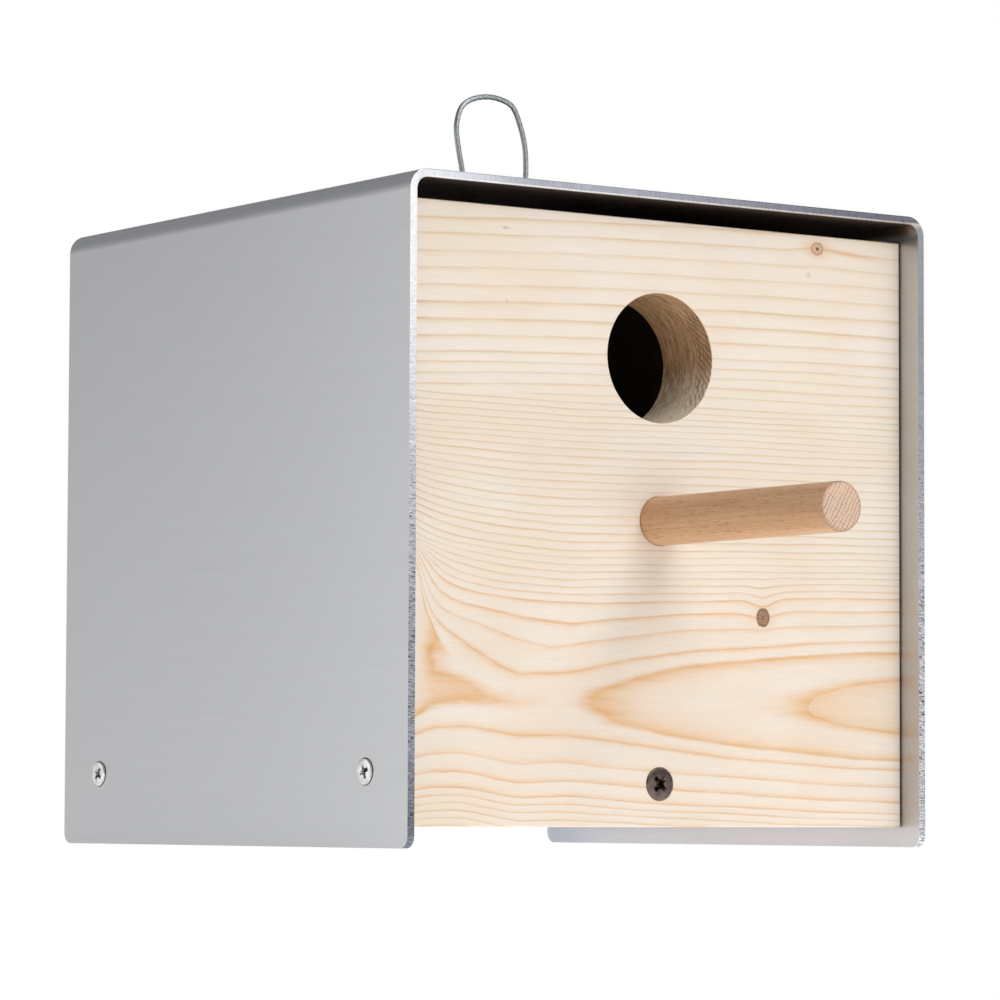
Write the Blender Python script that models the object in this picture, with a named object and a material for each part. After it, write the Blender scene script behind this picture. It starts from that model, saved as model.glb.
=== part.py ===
"""Nesting box: a wooden box under a bent sheet-metal hood, with a perch and a wire rope hanger.

Frame: +Z up, the entrance faces -Y, +X is to the right of someone looking at the entrance.
The origin is on the surface the box stands on, under the middle of its outline (perch included).
Sizes are in millimetres and become metres when a mesh is made.
"""

import math

import bmesh
import bpy
from mathutils import Vector

MM = 0.001

# Hood: one sheet bent into an upside-down U, open at the front, the back and the bottom.
HOOD_WIDTH = 157.5
HOOD_DEPTH = 161.5
HOOD_HEIGHT = 160.0
SHEET = 2.0
BEND_OUTER_RADIUS = 5.0
FOOT_CORNER_RADIUS = 3.0
BEND_STEPS = 6

# Clearance that neighbouring pieces keep.
GAP = 0.3

# Wooden box inside the hood.
BOARD = 20.0
RECESS = 7.0
BOX_BOTTOM = 5.0
BOX_TOP = 154.0
BOARD_EDGE = 0.5

# Entrance and perch, both on the front board's centre line.
ENTRANCE_DIAMETER = 32.0
ENTRANCE_HEIGHT = 119.9
PERCH_DIAMETER = 12.0
PERCH_HEIGHT = 79.8
PERCH_REACH = 70.2
PERCH_EDGE = 0.6

# Floor: swivels for cleaning on the two screws in its front and back edges.
FLOOR_AXIS_HEIGHT = 15.5
FLOOR_THICKNESS = 20.0
FLOOR_SIDE_CLEARANCE = 1.65
FLOOR_END_CLEARANCE = 0.5
DRAIN_DIAMETER = 7.0
DRAIN_INSET = 16.0

# Countersunk cross-recess screws: head radius, rim thickness, shank radius, length below the rim.
FLOOR_SCREW = {"head": 4.0, "rim": 0.4, "shank": 2.0, "length": 48.0, "proud": 0.25}
HOOD_SCREW = {"head": 3.2, "rim": 0.35, "shank": 1.75, "length": 20.0, "proud": 0.45}
SCREW_TIP = 2.5
SCREW_TIP_RADIUS = 0.6
RECESS_DEPTH = 1.4
RECESS_ARM = 0.28
RECESS_REACH = 0.56
HOOD_SCREW_HEIGHT = 18.0
HOOD_SCREW_OFFSET = 62.7

# Glued dowels between the side boards and the front and back boards.
DOWEL_DIAMETER = 6.0
DOWEL_IN_FACE = 10.0
DOWEL_IN_EDGE = 20.0
DOWEL_HEIGHTS = {"lower": 45.0, "upper": 125.0}

# Hanger: a wire rope that passes through two holes in the roof and is crimped below it.
ROPE_DIAMETER = 1.4
ROPE_HOLE = 2.6
LEG_OFFSET = 8.0
LEG_BOTTOM = 152.6
SLEEVE_HEIGHT = 149.2
SLEEVE_LENGTH = 9.0
SLEEVE_WALL = 1.0
ROPE_TAIL = 1.2
ROPE_SIDE_STEP = 0.85
ROPE_POINTS = 72

ROUND_STEPS = 24
PERCH_STEPS = 36
ENTRANCE_STEPS = 48

# The loop's visible part in the plane of the two holes, from the left hole over the top to the
# right one, as (x, z). It leans a little, as a springy rope does.
LOOP_ROUTE = [
    (-8.0, 160.4),
    (-7.8, 166.0),
    (-8.6, 173.6),
    (-9.7, 179.0),
    (-10.5, 184.0),
    (-10.2, 187.3),
    (-9.0, 190.4),
    (-6.7, 192.4),
    (-3.4, 193.6),
    (0.0, 194.0),
    (3.2, 193.7),
    (6.3, 192.7),
    (8.0, 191.0),
    (9.3, 188.2),
    (10.6, 184.4),
    (11.4, 179.8),
    (11.4, 173.0),
    (10.3, 166.4),
    (8.0, 160.4),
]

# Derived sizes.
INNER_WIDTH = HOOD_WIDTH - 2 * SHEET
BOX_HALF_WIDTH = INNER_WIDTH / 2 - GAP
BOX_HALF_DEPTH = HOOD_DEPTH / 2 - RECESS
BOARD_INNER_FACE = BOX_HALF_DEPTH - BOARD
SIDE_INNER_FACE = BOX_HALF_WIDTH - BOARD
PERCH_TIP = -(BOX_HALF_DEPTH + PERCH_REACH)
OUTLINE_MIDDLE = (HOOD_DEPTH / 2 + PERCH_TIP) / 2

MATERIALS = {
    "steel": ((0.50, 0.51, 0.53), 0.36, 1.0),
    "spruce": ((0.82, 0.68, 0.50), 0.62, 0.0),
    "beech": ((0.60, 0.38, 0.24), 0.55, 0.0),
    "bright_screw": ((0.66, 0.67, 0.66), 0.25, 1.0),
    "dark_screw": ((0.16, 0.14, 0.13), 0.32, 1.0),
    "rope": ((0.42, 0.44, 0.44), 0.38, 1.0),
    "sleeve": ((0.62, 0.63, 0.64), 0.40, 1.0),
}


def clear_scene():
    for old in list(bpy.data.objects):
        bpy.data.objects.remove(old, do_unlink=True)


def make_material(name):
    color, roughness, metallic = MATERIALS[name]
    material = bpy.data.materials.new(name)
    material.use_nodes = True
    shader = material.node_tree.nodes["Principled BSDF"]
    shader.inputs["Base Color"].default_value = (*color, 1.0)
    shader.inputs["Roughness"].default_value = roughness
    shader.inputs["Metallic"].default_value = metallic
    return material


def add_empty(name, location, parent=None):
    empty = bpy.data.objects.new(name, None)
    empty.location = Vector(location) * MM
    empty.parent = parent
    bpy.context.scene.collection.objects.link(empty)
    return empty


def add_object(name, bm, parent, material=None, location=(0, 0, 0), rotation=(0, 0, 0), smooth=False):
    """Turns a bmesh drawn in millimetres into a scene object in metres."""
    bmesh.ops.scale(bm, vec=(MM, MM, MM), verts=bm.verts)
    mesh = bpy.data.meshes.new(name)
    bm.to_mesh(mesh)
    bm.free()
    if smooth:
        mesh.shade_smooth()
        mesh.set_sharp_from_angle(angle=math.radians(35))
    if material is not None:
        mesh.materials.append(material)
    piece = bpy.data.objects.new(name, mesh)
    piece.parent = parent
    piece.location = Vector(location) * MM
    piece.rotation_euler = rotation
    bpy.context.scene.collection.objects.link(piece)
    return piece


def block_mesh(low, high):
    bm = bmesh.new()
    bmesh.ops.create_cube(bm, size=1.0)
    for vert in bm.verts:
        for axis in range(3):
            vert.co[axis] = high[axis] if vert.co[axis] > 0 else low[axis]
    return bm


def turned_mesh(profile, steps):
    """A closed solid turned about +Z from (radius, height) pairs listed bottom to top."""
    bm = bmesh.new()
    rings = []
    for radius, height in profile:
        ring = []
        for step in range(steps):
            angle = 2 * math.pi * step / steps
            ring.append(bm.verts.new((radius * math.cos(angle), radius * math.sin(angle), height)))
        rings.append(ring)
    for lower, upper in zip(rings, rings[1:]):
        for step in range(steps):
            after = (step + 1) % steps
            bm.faces.new((lower[step], lower[after], upper[after], upper[step]))
    bm.faces.new(list(reversed(rings[0])))
    bm.faces.new(rings[-1])
    return bm


def extruded_mesh(outline, depth):
    """A prism from an outline in the XZ plane, counter-clockwise from the front, along +Y."""
    bm = bmesh.new()
    front = bm.faces.new([bm.verts.new((x, -depth / 2, z)) for x, z in outline])
    side = bmesh.ops.extrude_face_region(bm, geom=[front])
    moved = [item for item in side["geom"] if isinstance(item, bmesh.types.BMVert)]
    bmesh.ops.translate(bm, verts=moved, vec=(0, depth, 0))
    bmesh.ops.recalc_face_normals(bm, faces=bm.faces)
    return bm


def cut(piece, cutter):
    """Takes the cutter's shape away from the piece."""
    cutter.hide_render = True
    cutter.display_type = "WIRE"
    boolean = piece.modifiers.new(f"cut {cutter.name}", "BOOLEAN")
    boolean.operation = "DIFFERENCE"
    boolean.solver = "EXACT"
    boolean.object = cutter


def turn_along(direction):
    """Euler angles that carry +Z onto the given direction."""
    return Vector(direction).to_track_quat("Z", "Y").to_euler()


def drill(piece, name, parent, start, direction, depth, radius, steps=ROUND_STEPS):
    """A round hole from the start point, which lies on the surface, to the given depth."""
    overshoot = 2.0
    bm = turned_mesh([(radius, -overshoot), (radius, depth)], steps)
    cut(piece, add_object(f"cut_{name}", bm, parent, None, start, turn_along(direction)))


def arc(center_x, center_z, radius, from_deg, to_deg, steps):
    points = []
    for step in range(steps + 1):
        angle = math.radians(from_deg + (to_deg - from_deg) * step / steps)
        points.append((center_x + radius * math.cos(angle), center_z + radius * math.sin(angle)))
    return points


def hood_outline():
    half = HOOD_WIDTH / 2
    inner = half - SHEET
    bend_x = half - BEND_OUTER_RADIUS
    bend_z = HOOD_HEIGHT - BEND_OUTER_RADIUS
    bend_inner_radius = BEND_OUTER_RADIUS - SHEET
    outline = [(half, 0.0)]
    outline += arc(bend_x, bend_z, BEND_OUTER_RADIUS, 0, 90, BEND_STEPS)
    outline += arc(-bend_x, bend_z, BEND_OUTER_RADIUS, 90, 180, BEND_STEPS)
    outline += [(-half, 0.0), (-inner, 0.0)]
    outline += arc(-bend_x, bend_z, bend_inner_radius, 180, 90, BEND_STEPS)
    outline += arc(bend_x, bend_z, bend_inner_radius, 90, 0, BEND_STEPS)
    outline += [(inner, 0.0)]
    return outline


def make_hood(parent, materials):
    bm = extruded_mesh(hood_outline(), HOOD_DEPTH)
    corners = []
    for edge in bm.edges:
        along_x = abs(edge.verts[0].co.x - edge.verts[1].co.x) > SHEET / 2
        at_foot = max(abs(vert.co.z) for vert in edge.verts) < 0.01
        at_end = min(abs(vert.co.y) for vert in edge.verts) > HOOD_DEPTH / 2 - 0.01
        if along_x and at_foot and at_end:
            corners.append(edge)
    bmesh.ops.bevel(bm, geom=corners, offset=FOOT_CORNER_RADIUS, segments=4, profile=0.5, affect="EDGES")
    hood = add_object("hood", bm, parent, materials["steel"], smooth=True)
    for side in (-1, 1):
        leg_hole = (side * LEG_OFFSET, 0, HOOD_HEIGHT)
        drill(hood, f"rope_hole_{side}", parent, leg_hole, (0, 0, -1), 2 * SHEET, ROPE_HOLE / 2)
        for end in (-1, 1):
            start = (side * HOOD_WIDTH / 2, end * HOOD_SCREW_OFFSET, HOOD_SCREW_HEIGHT)
            name = f"cut_hood_screw_{side}_{end}"
            cut(hood, seat_cutter(name, HOOD_SCREW, 2 * SHEET, start, (side, 0, 0), parent))


def make_board(name, low, high, parent, material):
    board = add_object(name, block_mesh(low, high), parent, material)
    eased = board.modifiers.new("eased edges", "BEVEL")
    eased.width = BOARD_EDGE * MM
    eased.segments = 1
    eased.limit_method = "ANGLE"
    return board


def drill_dowel_holes(board, side, end, parent, into_face):
    """Holes for one joint's dowels, in the end board's face or in the side board's edge."""
    radius = DOWEL_DIAMETER / 2 + GAP
    depth = (DOWEL_IN_FACE if into_face else DOWEL_IN_EDGE) + GAP
    direction = (0, end if into_face else -end, 0)
    x = side * (BOX_HALF_WIDTH - BOARD / 2)
    y = end * (BOARD_INNER_FACE if into_face else BOARD_INNER_FACE - GAP)
    for level, height in DOWEL_HEIGHTS.items():
        name = f"{board.name}_dowel_{side}_{end}_{level}"
        drill(board, name, parent, (x, y, height), direction, depth, radius)


def seat_cutter(name, screw, depth, location, direction, parent):
    """Countersink and clearance hole for a screw, down from the surface at the location."""
    slack = GAP * math.sqrt(2)
    cone_start = screw["rim"] - screw["proud"]
    shank = screw["shank"] + GAP
    cone_foot = -cone_start - (screw["head"] + slack - shank)
    overshoot = 1.0
    mouth = screw["head"] + slack + cone_start + overshoot
    profile = [(shank, -depth), (shank, cone_foot), (mouth, overshoot)]
    bm = turned_mesh(profile, ROUND_STEPS)
    return add_object(name, bm, parent, None, location, turn_along(direction))


def make_end_board(name, end, parent, materials):
    """The front board (end -1) or the back board (end 1), across the full width of the box."""
    near = end * BOARD_INNER_FACE
    far = end * BOX_HALF_DEPTH
    low = (-BOX_HALF_WIDTH, min(near, far), BOX_BOTTOM)
    high = (BOX_HALF_WIDTH, max(near, far), BOX_TOP)
    board = make_board(name, low, high, parent, materials["spruce"])
    pilot = HOOD_SCREW["shank"] + GAP
    pilot_depth = HOOD_SCREW["rim"] + HOOD_SCREW["length"] - HOOD_SCREW["proud"] - SHEET
    for side in (-1, 1):
        drill_dowel_holes(board, side, end, parent, into_face=True)
        start = (side * BOX_HALF_WIDTH, end * HOOD_SCREW_OFFSET, HOOD_SCREW_HEIGHT)
        drill(board, f"{name}_pilot_{side}", parent, start, (-side, 0, 0), pilot_depth, pilot)
    start = (0, end * BOX_HALF_DEPTH, FLOOR_AXIS_HEIGHT)
    cutter = seat_cutter(f"cut_{name}_seat", FLOOR_SCREW, BOARD + 2.0, start, (0, end, 0), parent)
    cut(board, cutter)
    return board


def make_front_board(parent, materials):
    board = make_end_board("front_board", -1, parent, materials)
    face = -BOX_HALF_DEPTH
    through = BOARD + 2.0
    start = (0, face, ENTRANCE_HEIGHT)
    drill(board, "entrance", parent, start, (0, 1, 0), through, ENTRANCE_DIAMETER / 2, ENTRANCE_STEPS)
    start = (0, face, PERCH_HEIGHT)
    drill(board, "perch_hole", parent, start, (0, 1, 0), through, PERCH_DIAMETER / 2 + GAP, PERCH_STEPS)


def make_side_board(name, side, parent, materials):
    reach = BOARD_INNER_FACE - GAP
    near = side * SIDE_INNER_FACE
    far = side * BOX_HALF_WIDTH
    low = (min(near, far), -reach, BOX_BOTTOM)
    high = (max(near, far), reach, BOX_TOP)
    board = make_board(name, low, high, parent, materials["spruce"])
    for end in (-1, 1):
        drill_dowel_holes(board, side, end, parent, into_face=False)


def make_dowels(parent, materials):
    chamfer = 0.6
    radius = DOWEL_DIAMETER / 2
    length = DOWEL_IN_FACE + DOWEL_IN_EDGE - GAP
    profile = [
        (radius - chamfer, 0),
        (radius, chamfer),
        (radius, length - chamfer),
        (radius - chamfer, length),
    ]
    for end, end_name in ((-1, "front"), (1, "back")):
        for side, side_name in ((-1, "left"), (1, "right")):
            for level, height in DOWEL_HEIGHTS.items():
                x = side * (BOX_HALF_WIDTH - BOARD / 2)
                start = (x, end * (BOARD_INNER_FACE + DOWEL_IN_FACE), height)
                bm = turned_mesh(profile, ROUND_STEPS)
                name = f"dowel_{end_name}_{side_name}_{level}"
                add_object(name, bm, parent, materials["beech"], start, turn_along((0, -end, 0)), True)


def make_perch(parent, materials):
    radius = PERCH_DIAMETER / 2
    length = BOARD + PERCH_REACH
    profile = [(radius, 0), (radius, length - PERCH_EDGE)]
    for step in range(1, 4):
        angle = math.radians(90 * step / 3)
        inset = PERCH_EDGE * (1 - math.cos(angle))
        profile.append((radius - inset, length - PERCH_EDGE + PERCH_EDGE * math.sin(angle)))
    bm = turned_mesh(profile, PERCH_STEPS)
    start = (0, -BOARD_INNER_FACE, PERCH_HEIGHT)
    add_object("perch", bm, parent, materials["beech"], start, turn_along((0, -1, 0)), True)


def recess_mesh(screw):
    """A tapered cross for a screwdriver, with its mouth above the head's face."""
    bm = bmesh.new()
    reach = screw["head"] * RECESS_REACH
    arm = screw["head"] * RECESS_ARM / 2
    lift = 0.5
    taper = 0.55
    rings = []
    for scale, height in ((taper, -RECESS_DEPTH), (1.0, lift)):
        ring = []
        for quarter in range(4):
            angle = math.pi / 2 * quarter
            for x, y in ((reach * scale, -arm), (reach * scale, arm), (arm, arm)):
                turned_x = x * math.cos(angle) - y * math.sin(angle)
                turned_y = x * math.sin(angle) + y * math.cos(angle)
                ring.append(bm.verts.new((turned_x, turned_y, height)))
        rings.append(ring)
    count = len(rings[0])
    for step in range(count):
        after = (step + 1) % count
        bm.faces.new((rings[0][step], rings[0][after], rings[1][after], rings[1][step]))
    bm.faces.new(list(reversed(rings[0])))
    bm.faces.new(rings[1])
    return bm


def make_screw(name, screw, location, direction, parent, material):
    """A countersunk screw whose head face is at the location and looks along the direction."""
    head = screw["head"]
    shank = screw["shank"]
    cone_foot = -screw["rim"] - (head - shank)
    end = -screw["rim"] - screw["length"]
    profile = [
        (SCREW_TIP_RADIUS, end),
        (shank, end + SCREW_TIP),
        (shank, cone_foot),
        (head, -screw["rim"]),
        (head, 0),
    ]
    rotation = turn_along(direction)
    piece = add_object(name, turned_mesh(profile, ROUND_STEPS), parent, material, location, rotation, True)
    cutter = add_object(f"cut_{name}", recess_mesh(screw), parent, None, location, rotation)
    cut(piece, cutter)


def make_hood_screws(parent, materials):
    for side, side_name in ((-1, "left"), (1, "right")):
        for end, end_name in ((-1, "front"), (1, "back")):
            x = side * (HOOD_WIDTH / 2 + HOOD_SCREW["proud"])
            location = (x, end * HOOD_SCREW_OFFSET, HOOD_SCREW_HEIGHT)
            name = f"hood_screw_{side_name}_{end_name}"
            make_screw(name, HOOD_SCREW, location, (side, 0, 0), parent, materials["bright_screw"])


def make_floor(pivot, materials):
    """The floor board and its two pivot screws, which turn together about the pivot."""
    half_width = SIDE_INNER_FACE - FLOOR_SIDE_CLEARANCE
    half_depth = BOARD_INNER_FACE - FLOOR_END_CLEARANCE
    half_thickness = FLOOR_THICKNESS / 2
    low = (-half_width, -half_depth, -half_thickness)
    high = (half_width, half_depth, half_thickness)
    floor = make_board("floor_board", low, high, pivot, materials["spruce"])
    screw = FLOOR_SCREW
    face = BOX_HALF_DEPTH + screw["proud"]
    tip = face - screw["rim"] - screw["length"]
    for end, end_name in ((-1, "front"), (1, "back")):
        start = (0, end * half_depth, 0)
        depth = half_depth - tip + GAP
        drill(floor, f"floor_pilot_{end}", pivot, start, (0, -end, 0), depth, screw["shank"] + GAP)
        location = (0, end * face, 0)
        name = f"floor_screw_{end_name}"
        make_screw(name, screw, location, (0, end, 0), pivot, materials["dark_screw"])
        for side in (-1, 1):
            start = (side * (half_width - DRAIN_INSET), end * (half_depth - DRAIN_INSET), half_thickness)
            depth = FLOOR_THICKNESS + 2.0
            drill(floor, f"drain_{end}_{side}", pivot, start, (0, 0, -1), depth, DRAIN_DIAMETER / 2)


def smooth_curve(points, count):
    """Points at equal steps along a Catmull-Rom curve through the given points."""
    fine = []
    steps = 24
    padded = [2 * points[0] - points[1]] + points + [2 * points[-1] - points[-2]]
    for a, b, c, d in zip(padded, padded[1:], padded[2:], padded[3:]):
        for step in range(steps):
            t = step / steps
            term = (b * 2) + (c - a) * t
            term += (a * 2 - b * 5 + c * 4 - d) * t**2
            term += (b * 3 - a - c * 3 + d) * t**3
            fine.append(term / 2)
    fine.append(points[-1])
    lengths = [0.0]
    for first, second in zip(fine, fine[1:]):
        lengths.append(lengths[-1] + (second - first).length)
    even = []
    index = 0
    for step in range(count):
        target = lengths[-1] * step / (count - 1)
        while index < len(fine) - 2 and lengths[index + 1] < target:
            index += 1
        span = lengths[index + 1] - lengths[index]
        even.append(fine[index].lerp(fine[index + 1], (target - lengths[index]) / span))
    return even


def rope_end(side):
    """From a roof hole down and round into the sleeve and out of its far end, as house points."""
    bend = LEG_BOTTOM - SLEEVE_HEIGHT
    center_x = LEG_OFFSET - bend
    tail = SLEEVE_LENGTH / 2 + ROPE_TAIL
    points = [Vector((side * LEG_OFFSET, 0, HOOD_HEIGHT - SHEET / 2))]
    points.append(Vector((side * LEG_OFFSET, 0, (HOOD_HEIGHT + LEG_BOTTOM) / 2)))
    steps = 4
    for step in range(steps + 1):
        angle = math.pi / 2 * step / steps
        x = side * (center_x + bend * math.cos(angle))
        z = LEG_BOTTOM - bend * math.sin(angle)
        sideways = side * ROPE_SIDE_STEP * (1 - math.cos(math.pi * step / steps)) / 2
        points.append(Vector((x, sideways, z)))
    points.append(Vector((0, side * ROPE_SIDE_STEP, SLEEVE_HEIGHT)))
    points.append(Vector((-side * tail, side * ROPE_SIDE_STEP, SLEEVE_HEIGHT)))
    return points


def make_hanging_loop(slide, materials):
    """The rope, as one tube, and the oval sleeve that joins its ends under the roof."""
    route = list(reversed(rope_end(-1)))
    route += [Vector((x, 0, z)) for x, z in LOOP_ROUTE]
    route += rope_end(1)
    anchor = Vector((0, 0, HOOD_HEIGHT))
    points = smooth_curve(route, ROPE_POINTS)
    curve = bpy.data.curves.new("hanging_loop", "CURVE")
    curve.dimensions = "3D"
    curve.bevel_depth = ROPE_DIAMETER / 2 * MM
    curve.bevel_resolution = 2
    curve.use_fill_caps = True
    spline = curve.splines.new("POLY")
    spline.points.add(len(points) - 1)
    for target, point in zip(spline.points, points):
        target.co = (*((point - anchor) * MM), 1.0)
    curve.materials.append(materials["rope"])
    rope = bpy.data.objects.new("hanging_loop", curve)
    rope.parent = slide
    bpy.context.scene.collection.objects.link(rope)
    make_sleeve(slide, anchor, materials)


def oval_outline(half_flat, radius, steps):
    outline = arc(half_flat, 0, radius, -90, 90, steps)
    outline += arc(-half_flat, 0, radius, 90, 270, steps)
    return outline


def make_sleeve(slide, anchor, materials):
    bore_radius = ROPE_DIAMETER / 2 + GAP
    location = (0, 0, SLEEVE_HEIGHT - anchor.z)
    quarter_turn = (0, 0, math.pi / 2)
    outer = extruded_mesh(oval_outline(ROPE_SIDE_STEP, bore_radius + SLEEVE_WALL, 8), SLEEVE_LENGTH)
    sleeve = add_object("loop_sleeve", outer, slide, materials["sleeve"], location, quarter_turn, True)
    inner = extruded_mesh(oval_outline(ROPE_SIDE_STEP, bore_radius, 8), SLEEVE_LENGTH + 2.0)
    cut(sleeve, add_object("cut_sleeve_bore", inner, slide, None, location, quarter_turn))


def build():
    clear_scene()
    materials = {name: make_material(name) for name in MATERIALS}
    house = add_empty("house", (0, -OUTLINE_MIDDLE, 0))
    pivot = add_empty("floor_pivot", (0, 0, FLOOR_AXIS_HEIGHT), house)
    slide = add_empty("loop_slide", (0, 0, HOOD_HEIGHT), house)
    make_hood(house, materials)
    make_front_board(house, materials)
    make_end_board("back_board", 1, house, materials)
    make_side_board("left_side_board", -1, house, materials)
    make_side_board("right_side_board", 1, house, materials)
    make_dowels(house, materials)
    make_perch(house, materials)
    make_hood_screws(house, materials)
    make_floor(pivot, materials)
    make_hanging_loop(slide, materials)


build()
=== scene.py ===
import math

import bmesh
import bpy
from mathutils import Matrix, Vector


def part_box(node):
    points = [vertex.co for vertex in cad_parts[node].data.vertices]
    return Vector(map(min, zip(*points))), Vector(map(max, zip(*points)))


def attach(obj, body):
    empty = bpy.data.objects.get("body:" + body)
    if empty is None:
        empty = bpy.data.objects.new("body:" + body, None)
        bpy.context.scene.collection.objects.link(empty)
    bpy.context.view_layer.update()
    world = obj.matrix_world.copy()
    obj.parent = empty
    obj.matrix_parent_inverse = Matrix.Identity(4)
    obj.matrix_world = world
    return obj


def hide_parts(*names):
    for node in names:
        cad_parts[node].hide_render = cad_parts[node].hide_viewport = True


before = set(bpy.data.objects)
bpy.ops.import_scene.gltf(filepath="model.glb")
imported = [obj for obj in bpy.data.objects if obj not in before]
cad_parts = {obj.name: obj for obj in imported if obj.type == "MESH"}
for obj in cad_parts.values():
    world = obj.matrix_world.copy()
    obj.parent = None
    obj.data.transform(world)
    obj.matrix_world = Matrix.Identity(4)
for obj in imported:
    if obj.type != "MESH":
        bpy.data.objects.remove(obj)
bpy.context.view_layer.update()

MM = 0.001

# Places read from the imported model, in millimetres.
HOOD_LOW, HOOD_HIGH = (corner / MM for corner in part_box("hood"))
FRONT_LOW, FRONT_HIGH = (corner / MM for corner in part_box("front_board"))
BACK_LOW, BACK_HIGH = (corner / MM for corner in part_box("back_board"))
PERCH_LOW, PERCH_HIGH = (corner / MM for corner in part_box("perch"))
SLEEVE_LOW, SLEEVE_HIGH = (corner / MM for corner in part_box("loop_sleeve"))
FLOOR_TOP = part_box("floor_board")[1].z / MM
HOUSE_Y = (HOOD_LOW.y + HOOD_HIGH.y) / 2
FACE_Y = FRONT_LOW.y
PERCH_Z = (PERCH_LOW.z + PERCH_HIGH.z) / 2

# Sizes that the meshes below are drawn from, in millimetres.
SHEET = 2.0
BEND_RADIUS = 5.0
FOOT_RADIUS = 3.0
SHEET_EDGE = 0.12
BOARD_EDGE = 0.4
ENTRANCE_RADIUS = 16.0
ENTRANCE_Z = 119.9
ROPE_RADIUS = 0.7
ROPE_HOLE_RADIUS = 1.3
LEG_OFFSET = 8.0
SIDE_INNER_X = 56.45

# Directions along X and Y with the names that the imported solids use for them.
SIDES = ((-1, "left"), (1, "right"))
ENDS = ((-1, "front"), (1, "back"))

# Edges sharper than this many degrees stay hard in the shading.
ROUND_SHARP = 38
BOARD_SHARP = 20


def center_of(node):
    """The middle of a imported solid's box, in millimetres."""
    low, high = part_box(node)
    return (low + high) / 2 / MM


def srgb(red, green, blue):
    """A colour given as it looks on screen, 0 to 255, as linear light."""
    linear = []
    for value in (red, green, blue):
        part = value / 255
        linear.append(part / 12.92 if part <= 0.04045 else ((part + 0.055) / 1.055) ** 2.4)
    return (*linear, 1.0)


# Shader arithmetic.


class Num:
    """A number in a material's node tree. Ordinary arithmetic on it adds Math nodes."""

    def __init__(self, graph, socket):
        self.graph = graph
        self.socket = socket

    def __add__(self, other):
        return self.graph.math("ADD", self, other)

    def __sub__(self, other):
        return self.graph.math("SUBTRACT", self, other)

    def __rsub__(self, other):
        return self.graph.math("SUBTRACT", other, self)

    def __mul__(self, other):
        return self.graph.math("MULTIPLY", self, other)

    def __truediv__(self, other):
        return self.graph.math("DIVIDE", self, other)

    def __rtruediv__(self, other):
        return self.graph.math("DIVIDE", other, self)

    def __pow__(self, other):
        return self.graph.math("POWER", self, other)

    def __abs__(self):
        return self.graph.math("ABSOLUTE", self)

    __radd__ = __add__
    __rmul__ = __mul__


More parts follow.
